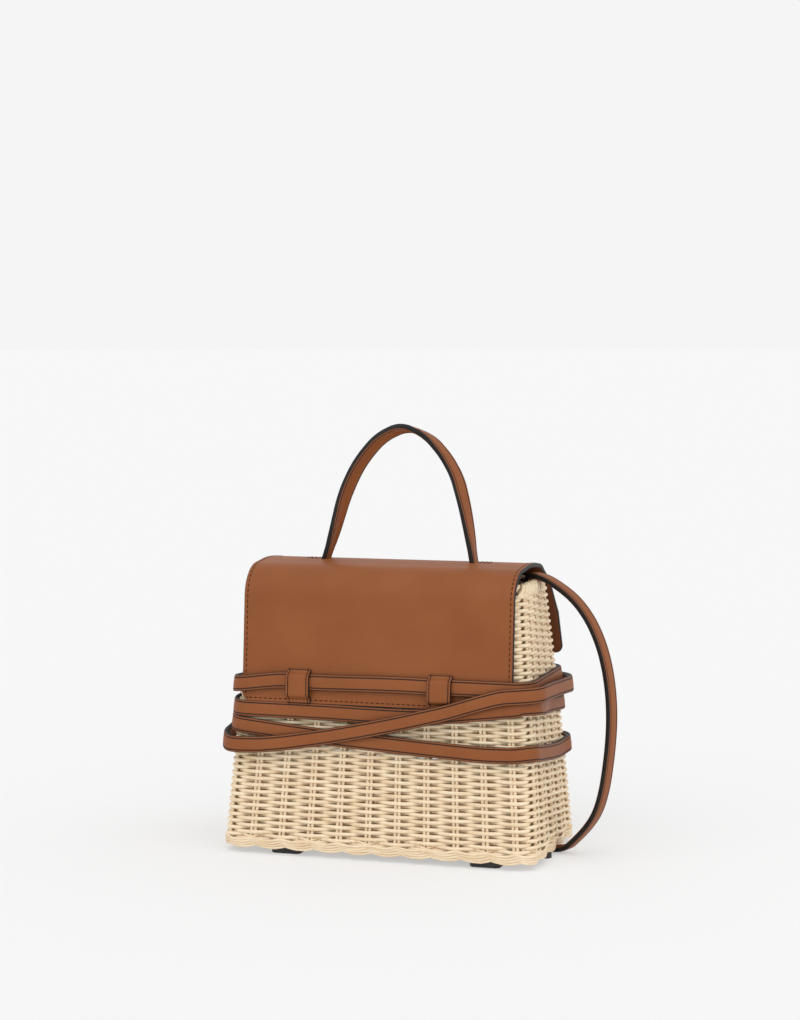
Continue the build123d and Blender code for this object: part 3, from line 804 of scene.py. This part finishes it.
def flap_rows():
    made = []
    shares = [-1, -0.987, -0.96, -0.9, -0.6, -0.3, 0, 0.3, 0.6, 0.9, 0.96, 0.987, 1]
    for place, _ in end_steps(flap_line(), FLAP_CORNER):
        half = flap_half_width(place.x, place.y)
        made.append([Vector((FLAP_MIDDLE + share * half, place.x, place.y)) for share in shares])
    return made


flap = leather_sheet("flap_leather", flap_rows(), FLAP_THICK, FLAP_EDGE)
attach(flap, "root")
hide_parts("flap")


def flap_seams():
    """The stitch lines: down both ends of the sheet and along its lower edges."""
    sides = {-1: [], 1: []}
    line = flap_line()
    first, last = line[0], line[-1]
    line[0] = (first[0] + first[1] * FLAP_SEAM_IN, first[1])
    line[-1] = (last[0] - last[1] * FLAP_SEAM_IN, last[1])
    for place, faces in line:
        out = Vector((faces.y, -faces.x)) * 0.02
        half = flap_half_width(place.x, place.y) - FLAP_SEAM_IN
        for side, points in sides.items():
            points.append(Vector((FLAP_MIDDLE + side * half, place.x + out.x, place.y + out.y)))
    lines = [sides[-1], sides[1]]
    for end in (0, -1):
        place = line[end][0]
        half = FLAP_HALF - FLAP_CORNER if end else TAIL_END_HALF - TAIL_CORNER
        ends = [FLAP_MIDDLE + side * half for side in (-1, 0, 1)]
        lines.append([Vector((x, place.x, place.y)) for x in ends])
    return lines


stitches("flap_stitches", flap_seams(), *FLAP_STITCH)


# The top handle: a bent strap that goes down through the flap, each end turned outwards
# under it and sewn. It is stitched along both edges.
STRAP_T = 3.5
HANDLE_T = 3.6
BAND_EDGE = 0.55
HANDLE_STITCH = (3.2, 2.5, 0.4)
HANDLE_FEET = (-65.0, 65.2)
HANDLE_SEAT = 227.3
HANDLE_OUTSIDE = [
    (-56.3, 251.4),
    (-46.4, 283.2),
    (-33.8, 308.5),
    (-15.5, 329.5),
    (6.2, 339.5),
    (27.0, 331.0),
    (41.1, 315.0),
    (50.3, 298.5),
    (57.0, 273.7),
    (61.5, 250.9),
]
HANDLE_TAIL = 26.0
HANDLE_TURN = (0.62, -0.36)  # how far the raised part's back edge lies to the right and down
HANDLE_TURN_FROM = 12  # millimetres above the flap where the turn starts
HANDLE_TURN_SPEED = 2.2
HANDLE_TURN_EASE = 0.8
THREAD_SUNK = 0.2  # of a stitch's middle under the leather's face
THREAD_BEHIND = 0.02  # of a stitch's middle behind the strap's back
BAND_SECTION = [  # across the strap, and up from its face: two stitched grooves, a soft middle
    (-6.5, -0.3),
    (-5.1, -0.02),
    (-4.8, -0.05),
    (-4.5, -0.3),
    (-4.1, -0.05),
    (-2.0, 0.14),
    (0.0, 0.2),
    (2.0, 0.14),
    (4.1, -0.05),
    (4.5, -0.3),
    (4.8, -0.05),
    (5.1, -0.02),
    (6.5, -0.3),
]
SEAM_AT = 4.5


def gentle_radii(places):
    """An arc radius for each corner of a route, as large as its two runs allow."""
    points = [Vector(place) for place in places]
    radii = []
    for a, b, c in zip(points, points[1:], points[2:]):
        run = 0.45 * min((b - a).length, (c - b).length)
        radii.append(run / tan((b - a).angle(c - b) / 2))
    return radii


def handle_line():
    left, right = HANDLE_FEET
    places = [
        (left - HANDLE_TAIL, HANDLE_SEAT),
        (left, HANDLE_SEAT),
        *HANDLE_OUTSIDE,
        (right, HANDLE_SEAT),
        (right + HANDLE_TAIL, HANDLE_SEAT),
    ]
    radii = gentle_radii(places)
    radii[0] = radii[-1] = 1.0
    return bent_line(places, radii, 3.0)


def handle_frames():
    """Points of the outside's middle with the way the width and the outside face there."""
    line = handle_line()
    crown = max(place.y for place, _ in line) - HANDLE_SEAT
    frames = []
    for place, faces in line:
        risen = (place.y - HANDLE_SEAT - HANDLE_TURN_FROM) / crown
        lean = min(1.0, max(0.0, risen * HANDLE_TURN_SPEED)) ** HANDLE_TURN_EASE
        ahead = Vector((faces.x, 0, faces.y))
        width = Vector((HANDLE_TURN[0] * lean, 1, HANDLE_TURN[1] * lean))
        width = (width - ahead * width.dot(ahead)).normalized()
        frames.append((Vector((place.x, 0, place.y)), width, ahead.cross(width)))
    return frames


handle_middle = handle_frames()


def handle_rows():
    return [
        [middle + width * across + out * rise for across, rise in BAND_SECTION]
        for middle, width, out in handle_middle
    ]


handle = leather_sheet("handle_strap", handle_rows(), HANDLE_T, BAND_EDGE, (calf, edge_paint, calf))
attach(handle, "root")
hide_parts("top_handle")


handle_seams = [
    [middle + width * across + out * depth for middle, width, out in handle_middle]
    for across in (-SEAM_AT, SEAM_AT)
    for depth in (-THREAD_SUNK, -HANDLE_T - THREAD_BEHIND)
]
# Two short rows of stitches outside each foot hold its hidden end under the flap.
TACK_APART = 3.5  # of each row from the handle's middle
TACK_REACH = (3.5, 7.0, 10.5)
TACK_DOWN = 0.55  # the crown's arc passes this far under its corner
for foot_x in HANDLE_FEET:
    outwards = 1 if foot_x > 0 else -1
    for y in (-TACK_APART, TACK_APART):
        handle_seams.append(
            [Vector((foot_x + outwards * x, y, ARCH_CROWN - TACK_DOWN)) for x in TACK_REACH]
        )
stitches("handle_stitches", handle_seams, *HANDLE_STITCH)


# The wound belt: one long strap, four times round the basket, through the loops and over
# its own turns. Each place is a wall, the distance along it, the height and the stand-off.
FRONT, RIGHT, BACK, LEFT = range(4)
BELT_PLACES = [
    (BACK, 0, 132.6, 0.8),
    (LEFT, 0, 131.6, 0.8),
    (FRONT, -119, 132.9, 2.6),
    (FRONT, -112, 134.5, 5.5),
    (FRONT, -103, 136.0, 4.4),
    (FRONT, -74, 138.8, 4.2),
    (FRONT, -54, 138.0, 4.2),
    (FRONT, 20, 138.9, 4.2),
    (FRONT, 62, 138.5, 4.2),
    (FRONT, 103, 138.5, 4.4),
    (FRONT, 112, 138.4, 5.5),
    (RIGHT, -45, 137.8, 1.2),
    (RIGHT, 45, 138.5, 1.0),
    (BACK, -60, 137.0, 4.0),
    (BACK, -15, 133.0, 5.0),
    (BACK, 80, 127.0, 5.0),
    (LEFT, -40, 122.5, 5.0),
    (LEFT, 0, 117.6, 0.8),
    (LEFT, 40, 115.8, 0.8),
    (FRONT, -120, 114.9, 0.8),
    (FRONT, -53, 114.6, 0.8),
    (FRONT, 20, 113.7, 0.8),
    (FRONT, 46, 115.4, 4.4),
    (FRONT, 59, 117.2, 4.4),
    (FRONT, 89, 121.0, 4.4),
    (FRONT, 103, 122.8, 4.5),
    (FRONT, 112, 124.4, 5.5),
    (RIGHT, -50, 125.5, 5.0),
    (RIGHT, -30, 122.8, 4.4),
    (RIGHT, 0, 119.8, 0.8),
    (RIGHT, 43, 116.3, 0.8),
    (BACK, -90, 115.0, 0.8),
    (BACK, 90, 110.5, 0.8),
    (LEFT, -40, 107.5, 0.8),
    (LEFT, 40, 103.6, 0.8),
    (FRONT, -121, 102.8, 0.8),
    (FRONT, -38, 95.0, 0.8),
    (FRONT, 20, 91.5, 0.8),
    (FRONT, 58, 89.4, 0.8),
    (FRONT, 91, 88.1, 0.8),
    (FRONT, 109, 88.5, 0.8),
    (RIGHT, -52, 89.5, 0.8),
    (RIGHT, -32, 86.6, 0.8),
    (RIGHT, 30, 80.8, 0.8),
    (RIGHT, 52, 82.6, 3.0),
    (BACK, -90, 83.5, 0.8),
    (BACK, 0, 90.0, 0.8),
    (BACK, 60, 97.0, 5.0),
    (BACK, 95, 100.5, 5.0),
    (LEFT, -40, 103.0, 5.6),
    (LEFT, 0, 96.5, 8.0),
    (LEFT, 45, 89.8, 6.4),
    (FRONT, -116, 87.0, 7.0),
    (FRONT, -101, 87.2, 5.0),
    (FRONT, -79, 89.5, 5.0),
    (FRONT, -60, 92.6, 5.0),
    (FRONT, -34, 97.4, 5.0),
    (FRONT, 22, 109.9, 5.4),
    (FRONT, 38, 114.2, 8.0),
    (FRONT, 59, 119.8, 8.4),
    (FRONT, 86, 128.4, 8.4),
    (FRONT, 103, 133.1, 8.4),
    (FRONT, 112, 134.4, 8.6),
    (RIGHT, -45, 134.6, 8.6),
    (RIGHT, 16, 132.2, 9.0),
    (RIGHT, 44, 130.8, 9.2),
    (BACK, -90, 131.0, 9.5),
    (BACK, -60, 131.0, 9.5),
]
BELT_STEP = 2.6
BELT_EDGE = 0.6
BELT_STITCH = (3.0, 2.3, 0.4)


def place_on_wall(wall, along, z):
    """How far round the outline a place lies, given its distance from a wall's middle."""
    half = half_sizes(z)[wall % 2] - CORNER_R
    start = sum(FLATS[:wall]) + wall * ARC
    past = abs(along) - half
    if past <= 0:
        return start + (along / half + 1) / 2 * FLATS[wall]
    bend = asin(min(past / CORNER_R, 1.0)) / (pi / 2) * ARC
    return start + FLATS[wall] + bend if along > 0 else start - bend


def belt_keys():
    keys, lap, last_wall = [], 0, BACK
    for wall, along, z, lift in BELT_PLACES:
        if wall < last_wall:
            lap += 1
        last_wall = wall
        keys.append((place_on_wall(wall, along, z) + lap * OUTLINE, z, lift))
    return keys


def slopes(keys, which):
    """A smooth slope at each key that never overshoots its neighbours."""
    steps = []
    for a, b in zip(keys, keys[1:]):
        steps.append((b[which] - a[which]) / (b[0] - a[0]))
    found = [steps[0]]
    for left, right in zip(steps, steps[1:]):
        found.append(0.0 if left * right <= 0 else 2 * left * right / (left + right))
    return [*found, steps[-1]]


def belt_stations():
    """Close stations of the belt, with its height and stand-off eased between the keys."""
    keys = belt_keys()
    z_slopes, lift_slopes = slopes(keys, 1), slopes(keys, 2)
    stations = []
    for k, (a, b) in enumerate(zip(keys, keys[1:])):
        span = b[0] - a[0]
        count = max(1, round(span / BELT_STEP))
        for j in range(count):
            t = j / count
            blend = [2 * t**3 - 3 * t**2 + 1, t**3 - 2 * t**2 + t, 3 * t**2 - 2 * t**3, t**3 - t**2]
            values = []
            for which, tilt in ((1, z_slopes), (2, lift_slopes)):
                ends = (a[which], tilt[k] * span, b[which], tilt[k + 1] * span)
                values.append(sum(weight * end for weight, end in zip(blend, ends)))
            stations.append((a[0] + t * span, *values))
    return [*stations, keys[-1]]


def belt_point(s, z, lift, across, rise):
    return around(s, z + across, lift + rise)


def belt_rows():
    made = []
    for s, z, lift in belt_stations():
        made.append(
            [belt_point(s, z, lift + STRAP_T, across, rise) for across, rise in BAND_SECTION]
        )
    return made


belt = leather_sheet("wound_belt", belt_rows(), STRAP_T, BELT_EDGE, (calf, edge_paint, calf))
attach(belt, "root")
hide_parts("wrap_belt")


def belt_seams():
    return [
        [belt_point(s, z, lift + STRAP_T, across, -THREAD_SUNK) for s, z, lift in belt_stations()]
        for across in (-SEAM_AT, SEAM_AT)
    ]


stitches("belt_stitches", belt_seams(), *BELT_STITCH)


# The belt loops: two standing bands on the front panel, sewn down at both ends and
# stitched along their sides, with a cross seam above the lower end.
LOOP_W = 19.5
LOOP_MIDDLES = {"loop_left": -64.5, "loop_right": 52.2}
LOOP_T = 2.0
LOOP_EDGE = 0.4
LOOP_STITCH = (2.8, 2.1, 0.38)
LOOP_STAND = 4.4
LOOP_SEAM_SHARE = 0.79  # of the half width, where the stitch lines run
LOOP_GROOVE = 0.25
LOOP_THREAD = 0.05  # of a stitch's middle in front of the leather
LOOP_LOW = 121.2
LOOP_HIGH = 147.4
LOOP_SEAM = 3.4
LOOP_FOLD = 1.6
LOOP_RAMP = 2.4
LOOP_R = 1.2
SEAT = 0.15


def loop_line():
    """The outside of a loop seen from its end, as (out from the flap, height)."""
    sewn, proud = SEAT + LOOP_T, LOOP_STAND + LOOP_T
    low_seam, high_seam = LOOP_LOW + LOOP_SEAM, LOOP_HIGH - LOOP_FOLD
    outside = [
        (sewn, LOOP_LOW),
        (sewn, low_seam),
        (proud, low_seam + LOOP_RAMP),
        (proud, high_seam - LOOP_RAMP),
        (sewn, high_seam),
        (sewn, LOOP_HIGH),
    ]
    places = [(flap_front_y(z) - out, z) for out, z in outside]
    wide = LOOP_R + LOOP_T
    return bent_line(places, [LOOP_R, wide, wide, LOOP_R], 0.6)


def loop_rows(middle):
    shares = (-1, -0.89, -0.84, -LOOP_SEAM_SHARE, -0.74, 0, 0.74, LOOP_SEAM_SHARE, 0.84, 0.89, 1)
    made = []
    for place, faces in loop_line():
        out = Vector((-faces.y, faces.x))
        row = []
        for share in shares:
            rise = -LOOP_GROOVE if abs(share) == LOOP_SEAM_SHARE else 0.0
            x = middle - share * LOOP_W / 2
            row.append(Vector((x, place.x + out.x * rise, place.y + out.y * rise)))
        made.append(row)
    return made


for node, middle in LOOP_MIDDLES.items():
    loop_sheet = loop_rows(middle)
    loop = leather_sheet(node + "_leather", loop_sheet, LOOP_T, LOOP_EDGE, (calf, edge_paint, calf))
    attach(loop, "root")
    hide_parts(node)
    seam_x = LOOP_W / 2 * LOOP_SEAM_SHARE
    lines = [
        [
            Vector((middle + side * seam_x, place.x - LOOP_THREAD, place.y))
            for place, _ in loop_line()
        ]
        for side in (-1, 1)
    ]
    cross_z = LOOP_LOW + LOOP_SEAM - 0.4
    cross_y = flap_front_y(cross_z) - SEAT - LOOP_T - LOOP_THREAD
    lines.append([Vector((middle + x, cross_y, cross_z)) for x in (-seam_x, 0, seam_x)])
    stitches(node + "_stitches", lines, *LOOP_STITCH)


# The shoulder strap: sewn inside both ends of the basket. It comes over the right rim,
# stands out in a wide bow, lies on the floor behind the bag and goes up over the left rim.
STRAP_ROUTE = [  # x, y, z and the way the strap's width points, in degrees
    (104.6, 18.0, 187.0, 75),
    (102.5, 17.9, 203.0, 75),
    (102.8, 17.7, 220.6, 75),
    (113.4, 15.1, 219.6, 75),
    (124.3, 12.2, 215.4, 75),
    (142.5, 7.3, 204.2, 75),
    (156.0, 3.7, 188.6, 75),
    (165.1, 1.2, 170.8, 75),
    (170.6, -0.2, 152.9, 75),
    (174.0, -1.1, 132.7, 75),
    (175.1, -1.5, 112.3, 75),
    (174.1, -1.2, 91.3, 75),
    (171.1, -0.4, 67.4, 75),
    (168.2, 0.4, 51.7, 75),
    (163.0, 1.8, 35.0, 75),
    (154.2, 4.2, 21.9, 75),
    (144.5, 6.8, 11.6, 75),
    (135.4, 9.2, 3.0, 75),
    (118.0, 14.0, 1.9, 74),
    (97.0, 21.5, 1.9, 60),
    (80.0, 34.0, 1.9, 45),
    (66.0, 54.0, 1.9, 30),
    (56.0, 79.0, 1.9, 35),
    (40.0, 106.0, 1.9, 45),
    (14.0, 127.0, 1.9, 65),
    (-18.0, 137.0, 1.9, 85),
    (-50.0, 136.0, 1.9, 105),
    (-80.0, 126.0, 1.9, 120),
    (-104.0, 111.0, 3.2, 135),
    (-121.0, 97.0, 9.0, 150),
    (-131.0, 84.0, 24.0, 165),
    (-136.0, 73.0, 47.0, 180),
    (-138.0, 63.0, 77.0, 195),
    (-138.0, 53.0, 110.0, 210),
    (-136.0, 42.0, 144.0, 225),
    (-132.0, 31.0, 175.0, 240),
    (-125.0, 22.0, 200.0, 250),
    (-116.0, 16.5, 218.4, 260),
    (-103.9, 13.0, 220.9, 268),
    (-103.4, 12.4, 203.0, 270),
    (-105.4, 12.0, 187.0, 270),
]
STRAP_STITCH = (3.2, 2.5, 0.38)


def route_line():
    """The strap's middle line, read from a smooth spline through its route."""
    curve = bpy.data.curves.new("strap_line", "CURVE")
    curve.dimensions = "3D"
    spline = curve.splines.new("NURBS")
    spline.points.add(len(STRAP_ROUTE) - 1)
    for point, (x, y, z, _) in zip(spline.points, STRAP_ROUTE):
        point.co = (x * MM, y * MM, z * MM, 1)
    spline.order_u = 3
    spline.use_endpoint_u = True
    spline.resolution_u = 8
    holder = bpy.data.objects.new("strap_line", curve)
    bpy.context.scene.collection.objects.link(holder)
    bpy.context.view_layer.update()
    mesh = bpy.data.meshes.new_from_object(holder)
    points = [vertex.co.copy() / MM for vertex in mesh.vertices]
    bpy.data.objects.remove(holder)
    return points


def nearest_headings(points):
    """The way the strap's width points at each point, eased between the route's places."""
    found, k = [], 0
    places = [Vector(place[:3]) for place in STRAP_ROUTE]
    for point in points:
        while k + 2 < len(places) and (places[k + 1] - point).length > (places[k + 2] - point).length:
            k += 1
        a, b = places[k], places[k + 1]
        run = b - a
        share = min(1.0, max(0.0, (point - a).dot(run) / run.length_squared))
        first, second = STRAP_ROUTE[k][3], STRAP_ROUTE[k + 1][3]
        found.append(first + (second - first) * share)
    smooth = found[:]
    for k in range(2, len(found) - 2):
        smooth[k] = sum(found[k - 2 : k + 3]) / 5
    return [radians(angle) for angle in smooth]


def strap_frames():
    """Middle, width and outward directions along the strap."""
    points = route_line()
    frames = []
    for k, (point, heading) in enumerate(zip(points, nearest_headings(points))):
        ahead = (points[min(k + 1, len(points) - 1)] - points[max(k - 1, 0)]).normalized()
        width = Vector((cos(heading), sin(heading), 0))
        width = (width - ahead * width.dot(ahead)).normalized()
        frames.append((point, width, ahead.cross(width)))
    return frames


def strap_row(middle, width, out):
    return [middle + width * across + out * (STRAP_T / 2 + rise) for across, rise in BAND_SECTION]


strap_line = strap_frames()
strap_rows = [strap_row(*place) for place in strap_line]
strap_faces = (calf, edge_paint, calf)
strap = leather_sheet("shoulder_strap_leather", strap_rows, STRAP_T, BAND_EDGE, strap_faces)
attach(strap, "root")
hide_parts("shoulder_strap")
strap_seams = []
for across in (-SEAM_AT, SEAM_AT):
    for rise in (STRAP_T / 2 - THREAD_SUNK, -STRAP_T / 2 - THREAD_BEHIND):
        strap_seams.append(
            [middle + width * across + out * rise for middle, width, out in strap_line]
        )
strap_thread = stitches("strap_stitches", strap_seams, *STRAP_STITCH)


# The foot pads: four flat pieces of black leather glued under the foot border. They keep
# the cane off the ground and show as short dark strips under the front and the right end.
def pad_material():
    material = bpy.data.materials.new("black_pad")
    material.use_nodes = True
    nodes, links = material.node_tree.nodes, material.node_tree.links
    shader = nodes["Principled BSDF"]
    shader.inputs["Roughness"].default_value = 0.5
    places = nodes.new("ShaderNodeTexCoord")
    grain = nodes.new("ShaderNodeTexNoise")
    grain.inputs["Scale"].default_value = 600
    links.new(places.outputs["Object"], grain.inputs["Vector"])
    tones = nodes.new("ShaderNodeValToRGB")
    tones.color_ramp.elements[0].color = (0.010, 0.009, 0.009, 1)
    tones.color_ramp.elements[1].color = (0.030, 0.027, 0.025, 1)
    links.new(grain.outputs["Fac"], tones.inputs["Fac"])
    links.new(tones.outputs["Color"], shader.inputs["Base Color"])
    bump = nodes.new("ShaderNodeBump")
    bump.inputs["Strength"].default_value = 0.3
    bump.inputs["Distance"].default_value = 0.0002
    links.new(grain.outputs["Fac"], bump.inputs["Height"])
    links.new(bump.outputs[0], shader.inputs["Normal"])
    return material


black_pad = pad_material()
for corner in ("front_left", "front_right", "back_right", "back_left"):
    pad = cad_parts["foot_" + corner]
    for slot in pad.material_slots:
        slot.material = black_pad
